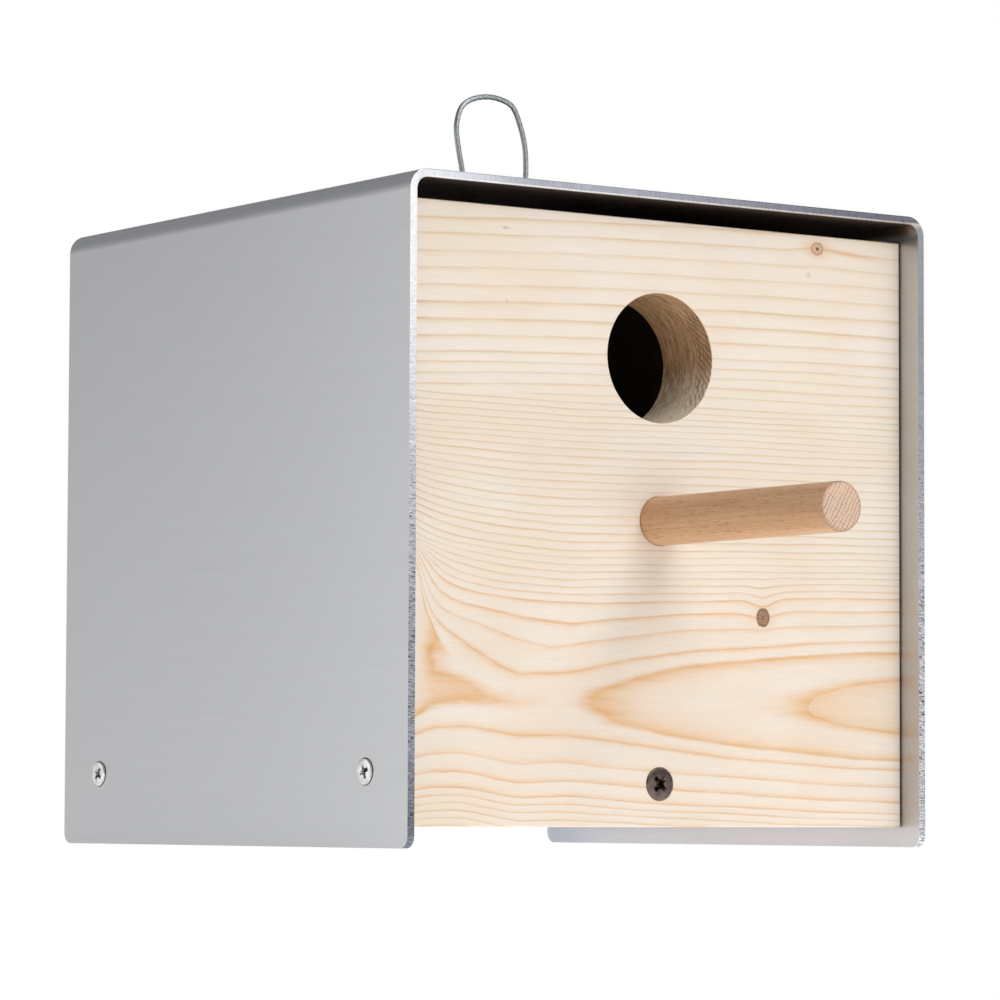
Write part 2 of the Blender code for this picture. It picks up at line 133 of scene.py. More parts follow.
class Graph:
    """One material's nodes. x, y and z are the place in millimetres, fixed to the piece."""

    def __init__(self, name):
        self.material = bpy.data.materials.new(name)
        self.material.use_nodes = True
        self.tree = self.material.node_tree
        self.shader = self.tree.nodes["Principled BSDF"]
        place = self.tree.nodes.new("ShaderNodeTexCoord").outputs["Object"]
        self.x, self.y, self.z = self.split(self.scaled(place, 1 / MM))

    def put(self, value, socket):
        """Links a Num or socket, or sets a plain number or tuple."""
        if isinstance(value, Num):
            value = value.socket
        if isinstance(value, bpy.types.NodeSocket):
            self.tree.links.new(value, socket)
        else:
            socket.default_value = value

    def node(self, kind, output, settings=None, **inputs):
        made = self.tree.nodes.new(f"ShaderNode{kind}")
        for key, value in (settings or {}).items():
            setattr(made, key, value)
        for key, value in inputs.items():
            self.put(value, made.inputs[key.replace("_", " ")])
        return made.outputs[output]

    def math(self, operation, *values):
        made = self.tree.nodes.new("ShaderNodeMath")
        made.operation = operation
        for value, socket in zip(values, made.inputs):
            self.put(value, socket)
        return Num(self, made.outputs[0])

    def scaled(self, vector, amount):
        return self.node("VectorMath", 0, {"operation": "SCALE"}, Vector=vector, Scale=amount)

    def split(self, vector):
        made = self.tree.nodes.new("ShaderNodeSeparateXYZ")
        self.put(vector, made.inputs[0])
        return [Num(self, socket) for socket in made.outputs]

    def vector(self, x, y, z):
        return self.node("CombineXYZ", 0, X=x, Y=y, Z=z)

    def length(self, x, y):
        return self.math("SQRT", x * x + y * y)

    def ramp(self, value, start, end, low=0.0, high=1.0, smooth=True):
        """The value's way from start to end, as low to high, clamped."""
        made = self.tree.nodes.new("ShaderNodeMapRange")
        made.interpolation_type = "SMOOTHSTEP" if smooth else "LINEAR"
        for key, number in (("Value", value), ("From Min", start), ("From Max", end)):
            self.put(number, made.inputs[key])
        self.put(low, made.inputs["To Min"])
        self.put(high, made.inputs["To Max"])
        return Num(self, made.outputs[0])

    def bump_at(self, u, v, center_u, center_v, size_u, size_v):
        """A round hump of height 1 at a place, falling off over the two sizes."""
        across = (u - center_u) / size_u
        along = (v - center_v) / size_v
        return self.math("EXPONENT", (across * across + along * along) * -1.0)

    def noise(self, x, y, z, detail=2.0, roughness=0.5, offset=0.0):
        """Smooth noise, 0 to 1 around 0.5, with cells about 1 across in the given coordinates."""
        place = self.vector(x, y, z + offset if offset else z)
        made = self.node("TexNoise", 0, Vector=place, Scale=1.0, Detail=detail, Roughness=roughness)
        return Num(self, made)

    def hash(self, value, seed=0.0):
        """A fixed random number, 0 to 1, for each whole number."""
        made = self.node("TexWhiteNoise", "Value", {"noise_dimensions": "1D"}, W=value + seed)
        return Num(self, made)

    def curve(self, value, points, reach):
        """Straight lines through given rising points; reach is where the input stops."""
        base = points[0][1]
        span = points[-1][1] - base
        made = self.tree.nodes.new("ShaderNodeFloatCurve")
        line = made.mapping.curves[0]
        line.points[0].location = (0.0, 0.0)
        line.points[1].location = (1.0, 1.0)
        for place, height in points[1:-1]:
            line.points.new(place / reach, (height - base) / span)
        for point in line.points:
            point.handle_type = "VECTOR"
        made.mapping.update()
        self.put(value / reach, made.inputs["Value"])
        return Num(self, made.outputs[0]) * span + base

    def mix(self, factor, first, second):
        made = self.tree.nodes.new("ShaderNodeMix")
        made.data_type = "RGBA"
        self.put(factor, made.inputs[0])
        self.put(first, made.inputs[6])
        self.put(second, made.inputs[7])
        return made.outputs[2]

    def shade(self, color, amount):
        """The colour times a number."""
        if isinstance(color, tuple):
            color = color[:3]
        return self.scaled(color, amount)

    def finish(self, color, roughness, height=None, bump=1.0, depth=0.1, **fixed):
        """Wires the shader. height is in millimetres, raised by the Bump node."""
        self.put(color, self.shader.inputs["Base Color"])
        self.put(roughness, self.shader.inputs["Roughness"])
        if height is not None:
            normal = self.node("Bump", 0, Height=height, Strength=bump, Distance=depth * MM)
            self.put(normal, self.shader.inputs["Normal"])
        for key, value in fixed.items():
            self.shader.inputs[key.replace("_", " ")].default_value = value
        return self.material


# Wood.


# Where each year ring of the lower strip ends, as (distance from the pith in mm, rings so far).
LOWER_RINGS = [
    (0.0, 0.0), (9.3, 1.0), (15.0, 2.0), (17.4, 3.0),
    (21.2, 4.0), (24.6, 5.0), (27.6, 6.0), (38.5, 13.0),
    (63.0, 25.5), (73.0, 32.0), (120.0, 58.0),
]
# The same for the upper strip, as (height in mm, rings so far): wide rings on top.
UPPER_RINGS = [
    (0.0, 58.0), (108.0, 101.0), (118.0, 105.0),
    (121.8, 106.0), (154.0, 113.9), (180.0, 120.0),
]
STRIP_JOINT = 109.0
PITH_Z = 36.3
FAN_X = -76.8
FAN_Z = 73.0


def fan_draw(g, x, z):
    """How strongly the hidden knot draws the grain here, 0 to 1."""
    reach = ((x - FAN_X) / 7.3) ** 2.6
    return g.ramp(z, 38.0, 47.0) / (reach + 1.0)


def drawn_to_fan(g, x, z, pith_z):
    """Near the left edge a hidden knot draws the grain up to one point."""
    draw = fan_draw(g, x, z)
    below = g.math("MAXIMUM", FAN_Z - z, 0.0)
    pull = below * (1.0 / (1.02 - draw) - 1.0)
    pull = g.math("MINIMUM", pull, g.math("MAXIMUM", z - pith_z - 3.2, 0.0))
    return z - pull


def lower_strip_rings(g, x, z, depth_in, drift):
    """Rings round a pith that comes nearer to the face on both sides of a low spot."""
    pith_z = PITH_Z + g.ramp(x, -40.0, -62.0) * g.ramp(z, 66.0, 48.0) * 2.7
    pith_depth = g.math("SMOOTH_MIN", 13.1 - x * 0.085, x * 0.03 + 16.32, 0.8)
    pith_depth = pith_depth - g.ramp(x, -66.0, -78.0) * 1.8
    radius = g.length(drawn_to_fan(g, x, z, pith_z) - pith_z, depth_in - pith_depth)
    kink_x = (z - 44.0) * 1.3 - 38.7
    from_kink = abs(x - kink_x) / 20.0
    up = (z - 47.0) / 9.0
    radius = radius + g.math("EXPONENT", (from_kink + up * up) * -1.0) * 1.8
    side = g.math("EXPONENT", (x + 77.0) / -13.0)
    radius = radius - side * g.ramp(z, 104, 76) * g.ramp(z, 56, 70) * 7.5
    radius = radius + g.bump_at(x, z, 32, 59.5, 4.5, 5.0) * 1.5
    return g.curve(radius + drift, LOWER_RINGS, 120.0)


def upper_strip_rings(g, x, z, depth_in, drift):
    """Rings of a strip cut far from its pith, rising slightly to the right."""
    along = x + 60.0
    level = z - (along * 0.0525 - along * along * 0.0001875)
    level = level + (depth_in - 10) * (depth_in - 10) * 0.012 - 1.2
    level = level - g.bump_at(x, z, 49.5, 150.0, 7, 4) * 1.0
    return g.curve(level + drift, UPPER_RINGS, 180.0)


def spruce_rings_front(g):
    """Year rings of the front board: two strips glued edge to edge."""
    depth_in = g.y - FACE_Y
    wobble = g.noise(g.x / 34, depth_in / 12, g.z / 7, 1.0) - 0.5
    fine = g.noise(g.x / 5, depth_in / 2, g.z / 1.3, 2.0, offset=7.0) - 0.5
    drift = wobble * 1.1 + fine * 0.3
    lower = lower_strip_rings(g, g.x, g.z, depth_in, drift)
    upper = upper_strip_rings(g, g.x, g.z, depth_in, drift)
    is_upper = g.math("GREATER_THAN", g.z, STRIP_JOINT)
    return lower + (upper - lower) * is_upper, is_upper


def spruce_rings_plain(g, along, across, deep, pith_across, pith_deep, seed):
    """Year rings of a board without knots. The pith may lie outside the board."""
    wander = g.noise(along / 60, across / 40, deep / 30, 1.0, offset=seed) - 0.5
    fine = g.noise(along / 6, across / 1.5, deep / 1.5, 2.0, offset=seed + 3) - 0.5
    center_a = across - pith_across - along * 0.03
    center_d = deep - pith_deep + along * 0.05
    radius = g.length(center_a, center_d) + wander * 7 + fine * 0.3
    pace = g.noise(radius / 14, seed, 0.0, 1.0) * 0.7 + 0.65
    return radius * 0.42 + pace * 0.8


def knot_colors(g, color, x, z, center, size, heart, rim, tail, core):
    """A small branch cut across: a dark rim, rings round its heart, and stained wood beside it."""
    across = (x - center[0]) / size[0]
    up = (z - center[1]) / size[1]
    wobble = g.noise(x / 1.4, z / 1.4, center[0], 1.0) - 0.5
    reach = g.length(across, up) + wobble * 0.2
    halo = g.bump_at(x, z, center[0], center[1], size[0] * 2.0, size[1] * 1.5)
    color = g.mix(halo * tail, color, srgb(222, 178, 128))
    inside = g.ramp(reach, 1.02, 0.86)
    rings = g.math("SINE", reach * 15.0) * 0.5 + 0.5
    speck = g.noise(x / 0.45, z / 0.45, center[1], 3.0, 0.7)
    body = g.mix(rings * 0.35, heart, rim)
    body = g.mix(g.ramp(speck, 0.45, 0.7) * 0.5, body, srgb(226, 200, 168))
    body = g.mix(g.ramp(reach + speck * 0.3, 0.55, 0.3) * core, body, srgb(74, 48, 40))
    edge = g.ramp(reach, 0.62, 0.9) * g.ramp(reach, 1.12, 0.95)
    color = g.mix(inside, color, body)
    return g.mix(edge * 0.75, color, rim)


def spruce_color(g, rings, along, across, deep, seed, contrast=1.0, squeeze=0.0):
    """Pale early wood and tan late wood, with the fine fibre of the cut surface."""
    part = g.math("FRACT", rings)
    number = g.math("FLOOR", rings)
    strength = g.noise(along / 22, across / 2.0, deep / 9, 1.0, offset=seed + 13) - 0.5
    depth = (g.hash(number, seed) * 0.55 + 0.5) * (1.0 + squeeze * 0.6)
    depth = depth * g.ramp(rings, 5.0, 8.0, 1.0, 0.9)
    depth = depth * g.ramp(strength, -0.2, 0.2, 0.72, 1.15)
    tail = g.ramp(rings, 2.2, 4.0, 0.26, 0.14)
    after = g.math("MAXIMUM", 1.0 - part / tail, 0.0) ** 2.0
    tight = 1.0 + squeeze * g.ramp(rings, 3.0, 1.0) * 4.0
    sharp = g.ramp(rings, 2.2, 4.0, 8.5, 9.0) * tight
    soft = g.ramp(rings, 2.2, 4.0, 3.8, 3.6) * tight
    late = g.math("MAXIMUM", part ** sharp, after) * depth
    stain = g.math("MAXIMUM", part ** soft, after) * depth
    fibre = g.noise(along / 7, across / 0.34, deep / 0.34, 3.0, 0.6, offset=seed) - 0.5
    streak = g.noise(along / 40, across / 1.6, deep / 1.6, 2.0, offset=seed + 5) - 0.5
    cloud = g.noise(along / 30, across / 22, deep / 30, 1.0, offset=seed + 9) - 0.5
    early = g.mix(g.ramp(cloud, -0.25, 0.25), srgb(239, 228, 216), srgb(236, 221, 204))
    orange = g.ramp(rings, 9.0, 5.0)
    stain_color = g.mix(orange, srgb(230, 202, 152), srgb(240, 199, 147))
    late_color = g.mix(orange, srgb(203, 167, 112), srgb(222, 169, 107))
    color = g.mix(stain * g.ramp(rings, 4.0, 2.0, 0.36, 0.58) * contrast, early, stain_color)
    color = g.mix(late * 0.72 * contrast, color, late_color)
    tone = 1.0 + fibre * 0.16 + streak * 0.06
    height = late * 0.6 + fibre * 0.5
    return g.shade(color, tone), height, late


def wear_marks(g, color, x, z):
    """Pin-sized dents and specks in the face."""
    for spot_x, spot_z, wide, high, strength in (
        (46.7, 143.8, 0.6, 0.55, 0.3),
        (-46.5, 148.7, 0.9, 0.28, 0.5),
        (-46.0, 131.0, 0.35, 0.35, 0.3),
    ):
        spot = g.bump_at(x, z, spot_x, spot_z, wide, high)
        color = g.mix(spot * strength, color, srgb(140, 110, 88))
    return color


def drilled_wall(g, color, radius_out):
    """Darker bore wall: drill rings, torn end grain in slanted rows at the sides, and painted light on
    the lower wall, which faces up.
    """
    up = g.z - ENTRANCE_Z
    depth_in = g.y - FACE_Y
    turn = g.math("ARCTAN2", up, g.x)
    arc = turn * ENTRANCE_RADIUS
    swirl = g.noise(depth_in / 0.45, arc / 9, 0.0, 3.0, 0.65) - 0.5
    side = g.ramp(abs(up), 14.5, 10.0)
    rough = g.noise(depth_in / 2.2, arc / 2.5, 3.0, 2.0) - 0.5
    rear = g.math("SINE", (up + depth_in * 0.75 + rough * 0.9) * 5.6)
    front = g.math("SINE", (up - depth_in * 0.9 + rough * 1.1) * 3.6)
    at_rear = g.ramp(depth_in, 9.5, 13.0) * g.ramp(up, 3.0, -1.0)
    at_front = g.ramp(depth_in, 7.5, 4.5) * 0.9
    torn = (rear * at_rear + front * at_front) * side
    wall = g.mix(g.ramp(swirl, -0.22, 0.22), srgb(158, 114, 72), srgb(234, 200, 160))
    # Painted light: the wall is lightened towards the bottom, where it faces up.
    wall = g.mix(g.ramp(up, 0.0, -11.0) * 0.85, wall, srgb(255, 240, 214))
    wall = g.mix(g.ramp(torn, 0.1, 0.9) * 0.7, wall, srgb(124, 84, 52))
    seam = abs(depth_in - 6.6 - rough * 2.0) + g.ramp(up, 4.0, 10.0)
    wall = g.mix(g.ramp(seam, 0.3, 0.05) * 0.6, wall, srgb(240, 222, 198))
    fuzz = g.noise(depth_in / 0.7, arc / 0.7, 9.0, 3.0, 0.7)
    wall = g.mix(g.ramp(fuzz, 0.52, 0.72) * 0.35, wall, srgb(236, 214, 184))
    chips = g.noise(depth_in / 0.5, arc / 2.6, 17.0, 2.0, 0.6)
    wall = g.mix(g.ramp(chips, 0.53, 0.66) * 0.5, wall, srgb(128, 90, 60))
    # Fibre curls, painted as near-white highlights on the lower wall only.
    curl_highlight = g.noise(depth_in / 0.45 + arc / 5.0, arc / 3.2, 21.0, 3.0, 0.7)
    curl_highlight = g.ramp(curl_highlight, 0.48, 0.58) * g.ramp(up, 2.0, -7.0)
    wall = g.mix(curl_highlight * 0.9, wall, srgb(255, 252, 240))
    on_wall = g.ramp(radius_out, ENTRANCE_RADIUS + 0.2, ENTRANCE_RADIUS + 0.06)
    relief = swirl * 1.2 + torn * 0.5 + fuzz * 0.8
    return g.mix(on_wall, color, wall), relief * on_wall, on_wall


def inside_shade(g, color, depth_in, start, end):
    """Painted shade: the faces inside the box are darkened towards a dark brown-grey, where shade
    falls in the closed box.
    """
    return g.mix(g.ramp(depth_in, start, end) * 0.85, color, srgb(84, 66, 48))


def front_spruce():
    g = Graph("spruce_front")
    depth_in = g.y - FACE_Y
    rings, is_upper = spruce_rings_front(g)
    squeeze = fan_draw(g, g.x, g.z)
    color, height, late = spruce_color(g, rings, g.x, g.z, depth_in, 1.0, squeeze=squeeze)
    color = g.mix(is_upper * 0.12, color, srgb(241, 225, 207))
    # Painted shade on the board's inner face.
    color = inside_shade(g, color, depth_in, 18.0, 19.5)
    brown = srgb(160, 122, 90)
    dark = srgb(118, 84, 56)
    color = knot_colors(g, color, g.x, g.z, (32.1, 57.0), (2.05, 2.35), brown, dark, 0.3, 0.4)
    heart = srgb(214, 184, 156)
    red = srgb(186, 128, 86)
    color = knot_colors(g, color, g.x, g.z, (49.5, 150.6), (1.9, 1.6), heart, red, 0.7, 1.0)
    tail = g.bump_at(g.x, g.z + (g.x - 49.5) * 0.10, 60, 151.0, 9, 0.7) * 0.55
    color = g.mix(tail, color, srgb(220, 172, 124))
    color = wear_marks(g, color, g.x, g.z)
    from_hole = g.length(g.x, g.z - ENTRANCE_Z)
    color, relief, on_wall = drilled_wall(g, color, from_hole)
    height = height * (1.0 - on_wall) + relief
    rough = 0.62 - late * 0.12
    return g.finish(color, rough, height, 0.35, 0.12, Specular_IOR_Level=0.35)


def plain_spruce(name, along, pith_across, pith_deep, seed):
    """Spruce for a board whose grain runs along X or Y."""
    g = Graph(name)
    if along == "x":
        run, deep = g.x, g.y
    else:
        run, deep = g.y, g.x
    rings = spruce_rings_plain(g, run, g.z, deep, pith_across, pith_deep, seed)
    color, height, late = spruce_color(g, rings, run, g.z, deep, seed, 0.8)
    # Painted shade on the faces inside the box.
    if name == "spruce_floor":
        color = inside_shade(g, color, g.z, FLOOR_TOP - 1.0, FLOOR_TOP - 0.2)
    elif along == "x":
        inner_face = BACK_LOW.y - HOUSE_Y
        from_middle = abs(g.y - HOUSE_Y)
        color = inside_shade(g, color, from_middle, inner_face + 1.0, inner_face + 0.2)
    else:
        color = inside_shade(g, color, abs(g.x), SIDE_INNER_X + 0.95, SIDE_INNER_X + 0.25)
    rough = 0.64 - late * 0.12
    return g.finish(color, rough, height, 0.35, 0.12, Specular_IOR_Level=0.35)


def beech(name, center_x, center_z):
    """Turned beech along Y: short dark flecks on the side, ring lines and rays on the end, and painted
    light on the upper side.
    """
    g = Graph(name)
    x = g.x - center_x
    z = g.z - center_z
    slant = math.radians(32)
    ring_way = x * math.cos(slant) + z * -math.sin(slant)
    ray_way = x * math.sin(slant) + z * math.cos(slant)
    bend = g.noise(x / 3.5, z / 3.5, g.y / 60, 1.0) - 0.5
    rings = (ring_way + ray_way * ray_way * 0.010 + bend * 1.3) / 0.98
    part = g.math("FRACT", rings)
    line = part ** 5.0 * g.ramp(part, 1.0, 0.92)
    line = line * (g.hash(g.math("FLOOR", rings), 7.0) * 0.7 + 0.5)
    rays = g.math("FRACT", (ray_way + bend * 0.9) / 0.92)
    ray = g.ramp(abs(rays - 0.5), 0.13, 0.02)
    ray = ray * g.ramp(g.noise(x / 1.5, z / 1.5, 3.0, 1.0), 0.4, 0.62)
    fleck_noise = g.noise(x / 0.2, g.y / 3.2, z / 0.2, 1.0, offset=4.0)
    fleck = g.ramp(fleck_noise, 0.60, 0.70)
    grain = g.noise(x / 0.4, g.y / 9, z / 0.4, 3.0, 0.65) - 0.5
    broad = g.noise(x / 3.2, g.y / 70, z / 3.2, 1.0, offset=2.0) - 0.5
    on_end = g.ramp(g.y, PERCH_LOW.y + 0.45, PERCH_LOW.y + 0.3)
    from_axis = g.length(x, z)
    color = g.mix(g.ramp(broad, -0.25, 0.25), srgb(216, 176, 140), srgb(202, 158, 120))
    color = g.mix(line * 0.4, color, srgb(168, 114, 78))
    color = g.mix(fleck * 0.62, color, srgb(150, 96, 60))
    end_color = g.mix(line + ray * 0.42, srgb(222, 191, 166), srgb(112, 72, 52))
    pores = g.noise(x / 0.16, z / 0.16, 1.0, 1.0)
    end_color = g.mix(g.ramp(pores, 0.55, 0.72) * 0.3, end_color, srgb(150, 104, 84))
    end_color = g.mix(g.ramp(from_axis, 5.0, 5.9) * 0.5, end_color, srgb(160, 112, 82))
    color = g.mix(on_end, color, end_color)
    # Painted light: the upper side of the rod is up to a tenth lighter.
    color = g.shade(color, g.ramp(z, 0.0, 5.5, 1.0, 1.1) + grain * 0.3)
    height = grain - fleck * 0.5 - line * on_end * 0.4
    return g.finish(color, 0.5, height, 0.3, 0.1, Specular_IOR_Level=0.4)


# Metal.


def brushed_steel():
    """Stainless sheet, ground along Y: the reflections stretch across the grinding lines."""
    g = Graph("brushed_steel")
    across = g.node("UVMap", 0, {"uv_map": "sheet"})
    run = g.split(across)[0] / MM
    line = g.noise(run / 0.12, g.y / 28, 0.0, 3.0, 0.65) - 0.5
    band = g.noise(run / 1.4, g.y / 90, 5.0, 2.0, 0.5) - 0.5
    cloud = g.noise(run / 45, g.y / 45, 8.0, 1.0) - 0.5
    from_middle = abs(g.x)
    # Painted reflection: a cool tint on the sheet's inner face near the foot.
    at_foot = g.ramp(g.z, 6.0, 4.5) * g.ramp(from_middle, HOOD_HIGH.x - 0.8, HOOD_HIGH.x - 1.2)
    tone = g.mix(at_foot, srgb(198, 199, 201), srgb(198, 203, 214))
    # Painted shade under the roof's inner face near the sides, tinted brown as a painted reflection of
    # the wood.
    underside_shade = g.ramp(g.z, HOOD_HIGH.z - SHEET + 0.15, HOOD_HIGH.z - SHEET + 0.05)
    underside_shade = underside_shade * g.ramp(g.z, HOOD_HIGH.z - 5.0, HOOD_HIGH.z - 3.0)
    inward = g.ramp(from_middle, HOOD_HIGH.x - 1.3, HOOD_HIGH.x - 1.7)
    # Painted highlight on the bends, left out under the roof.
    bend_highlight = g.ramp(from_middle, HOOD_HIGH.x - 6.5, HOOD_HIGH.x - 3.5)
    bend_highlight = bend_highlight * g.ramp(g.z, HOOD_HIGH.z - 5.5, HOOD_HIGH.z - 1.5) * (1.0 - underside_shade * inward)
    tone = g.mix(bend_highlight, tone, srgb(234, 237, 242))
    underside_shade = underside_shade * inward
    tone = g.mix(underside_shade * 0.75, tone, srgb(112, 84, 74))
    base = g.shade(tone, 1.0 + line * 0.14 + band * 0.05 + cloud * 0.03)
    rough = 0.34 + line * 0.10 + cloud * 0.04
    height = line * 0.5 + band * 0.15
    tangent = g.node("Tangent", 0, {"direction_type": "UV_MAP", "uv_map": "sheet"})
    g.put(tangent, g.shader.inputs["Tangent"])
    return g.finish(base, rough, height, 0.06, 0.05, Metallic=1.0, Anisotropic=0.75)


def cut_steel():
    """The sheet's sheared edge: fine steps across the thickness and pits, with painted highlights and
    reflections on the rims, and a bright burr painted as a highlight.
    """
    g = Graph("cut_steel")
    place = g.node("UVMap", 0, {"uv_map": "sheet"})
    run, through, _ = g.split(place)
    run = run / MM
    through = through / MM
    steps = g.noise(run / 0.36, through / 2.6, 0.0, 3.0, 0.65) - 0.5
    pits = g.noise(run / 0.33, through / 1.5, 6.0, 2.0, 0.6)
    pit = g.ramp(pits, 0.53, 0.64)
    # Painted highlight: the left rim is white towards the top, with fewer pits and flatter steps
    # there; lower down it is grey, darker towards the bottom.
    highlit_top = g.ramp(g.z, 34.0, 148.0)
    lower_grey = g.mix(g.ramp(g.z, 30.0, 5.0), srgb(160, 163, 172), srgb(124, 128, 138))
    rim_tone = g.mix(highlit_top, lower_grey, srgb(246, 246, 248))
    # Painted reflection: the right rim is grey, lighter towards the bottom.
    right_reflection = g.mix(g.ramp(g.z, 0.0, 150.0), srgb(214, 218, 222), srgb(158, 161, 164))
    rim_tone = g.mix(g.ramp(g.x, -60.0, 60.0), rim_tone, right_reflection)
    # Painted reflection along the roof's front edge: white at the left, grey to the right, with a
    # painted highlight on the burr along its lower side, and darker along its very top.
    along_roof = g.ramp(g.x, -74.0, 70.0, smooth=False)
    roof_edge_light = g.mix(g.ramp(along_roof, 0.0, 0.25), srgb(240, 242, 246), srgb(186, 188, 198))
    roof_edge_light = g.mix(g.ramp(along_roof, 0.25, 1.0), roof_edge_light, srgb(126, 127, 138))
    burr_highlight = g.mix(along_roof, srgb(255, 255, 253), srgb(206, 200, 194))
    roof_edge_light = g.mix(g.ramp(g.z, HOOD_HIGH.z - 1.45, HOOD_HIGH.z - 1.7), roof_edge_light, burr_highlight)
    roof_edge_light = g.shade(roof_edge_light, g.ramp(g.z, HOOD_HIGH.z - 0.35, HOOD_HIGH.z - 0.15, 1.0, 0.7))
    on_roof = g.ramp(g.z, HOOD_HIGH.z - 3.0, HOOD_HIGH.z - 2.2)
    rim_tone = g.mix(on_roof, rim_tone, roof_edge_light)
    pitted = g.mix(on_roof, 1.0 - highlit_top, along_roof * 0.5)
    base = g.mix(pit * pitted, rim_tone, srgb(70, 69, 76))
    base = g.shade(base, 1.05 + steps * (3.2 - highlit_top * 2.6))
    rough = 0.3 + pit * 0.2
    height = steps - pit * 0.8
    return g.finish(base, rough, height, 0.5, 0.12, Metallic=1.0)


def screw_metal(name, dark, light, roughness, axis, face):
    """Plated steel, slightly speckled, with painted shade in the recess."""
    g = Graph(name)
    speck = g.noise(g.x / 0.35, g.y / 0.35, g.z / 0.35, 3.0, 0.6)
    cloud = g.noise(g.x / 2.2, g.y / 2.2, g.z / 2.2, 1.0, offset=3.0)
    base = g.mix(g.ramp(cloud, 0.3, 0.7), dark, light)
    base = g.shade(base, 0.85 + speck * 0.3)
    out = abs(g.x if axis == "x" else g.y - HOUSE_Y)
    # Painted shade: darker in the cross recess below the head's face.
    base = g.mix(g.ramp(out, face - 0.35, face - 1.1) * 0.6, base, srgb(42, 37, 34))
    rough = roughness + (speck - 0.5) * 0.16
    return g.finish(base, rough, speck, 0.2, 0.05, Metallic=1.0)


def rope_metal():
    """Stranded wire: dull grey, with painted shade in the grooves between the strands."""
    g = Graph("rope_wire")
    groove = Num(g, g.node("Attribute", "Fac", {"attribute_name": "groove"}))
    speck = g.noise(g.x / 0.3, g.y / 0.3, g.z / 0.3, 2.0, 0.6)
    # Painted shade in the grooves between the strands.
    base = g.mix(groove * 0.35, srgb(175, 181, 183), srgb(118, 123, 125))
    base = g.shade(base, 0.88 + speck * 0.24)
    return g.finish(base, 0.42 + (speck - 0.5) * 0.2, speck, 0.15, 0.04, Metallic=1.0)


def sleeve_metal():
    """Pressed aluminium: pale, with soft tool marks."""
    g = Graph("sleeve_aluminium")
    mark = g.noise(g.x / 1.1, g.y / 0.5, g.z / 0.5, 3.0, 0.6)
    base = g.shade(srgb(206, 207, 209), 0.9 + mark * 0.2)
    return g.finish(base, 0.4 + (mark - 0.5) * 0.15, mark, 0.3, 0.08, Metallic=1.0)


# Mesh tools.


def add_piece(name, bm, materials, body, node=None):
    """Turns a bmesh drawn in millimetres into a piece that rides on a body."""
    bmesh.ops.scale(bm, vec=(MM, MM, MM), verts=bm.verts)
    mesh = bpy.data.meshes.new(name)
    bm.to_mesh(mesh)
    bm.free()
    for material in materials:
        mesh.materials.append(material)
    mesh.shade_smooth()
    mesh.set_sharp_from_angle(angle=math.radians(ROUND_SHARP))
    piece = bpy.data.objects.new(name, mesh)
    bpy.context.scene.collection.objects.link(piece)
    if body:
        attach(piece, body)
        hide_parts(node)
    return piece


def skin(bm, rings, capped=True):
    """Faces between rings of vertices that follow each other, and over both ends."""
    count = len(rings[0])
    for lower, upper in zip(rings, rings[1:]):
        for step in range(count):
            after = (step + 1) % count
            bm.faces.new((lower[step], lower[after], upper[after], upper[step]))
    if capped:
        bm.faces.new(list(reversed(rings[0])))
        bm.faces.new(rings[-1])


def round_edges(bm, edges, radius, segments):
    bmesh.ops.bevel(bm, geom=edges, offset=radius, segments=segments, profile=0.5, affect="EDGES")


def turned(profile, steps):
    """A closed solid turned about +Z from (radius, height) pairs listed bottom to top."""
    bm = bmesh.new()
    rings = []
    for radius, height in profile:
        ring = []
        for step in range(steps):
            angle = 2 * math.pi * step / steps
            ring.append(bm.verts.new((radius * math.cos(angle), radius * math.sin(angle), height)))
        rings.append(ring)
    skin(bm, rings)
    return bm


def aimed(bm, place, direction, spin=0.0):
    """Turns +Z onto the direction and moves the origin to the place."""
    turn = Vector(direction).to_track_quat("Z", "Y").to_matrix().to_4x4()
    matrix = Matrix.Translation(Vector(place)) @ turn @ Matrix.Rotation(spin, 4, "Z")
    bmesh.ops.transform(bm, matrix=matrix, verts=bm.verts)
    return bm


def carve(piece, cutters, sharp_angle=ROUND_SHARP):
    """Cuts the bmeshes out of the piece for good."""
    for index, bm in enumerate(cutters):
        cutter = add_piece(f"{piece.name}_cutter", bm, [], None)
        boolean = piece.modifiers.new("cut", "BOOLEAN")
        boolean.operation = "DIFFERENCE"
        boolean.solver = "EXACT"
        boolean.object = cutter
        evaluated = piece.evaluated_get(bpy.context.evaluated_depsgraph_get())
        result = bpy.data.meshes.new_from_object(evaluated)
        result.name = f"{piece.name}_{index}"
        piece.modifiers.clear()
        piece.data = result
        bpy.data.objects.remove(cutter, do_unlink=True)
    piece.data.shade_smooth()
    piece.data.set_sharp_from_angle(angle=math.radians(sharp_angle))


def weigh_normals(piece):
    """Keeps the large flat faces flat where they meet small rounded edges."""
    weighted = piece.modifiers.new("weighted normals", "WEIGHTED_NORMAL")
    weighted.keep_sharp = True
    weighted.weight = 100


# Hood.


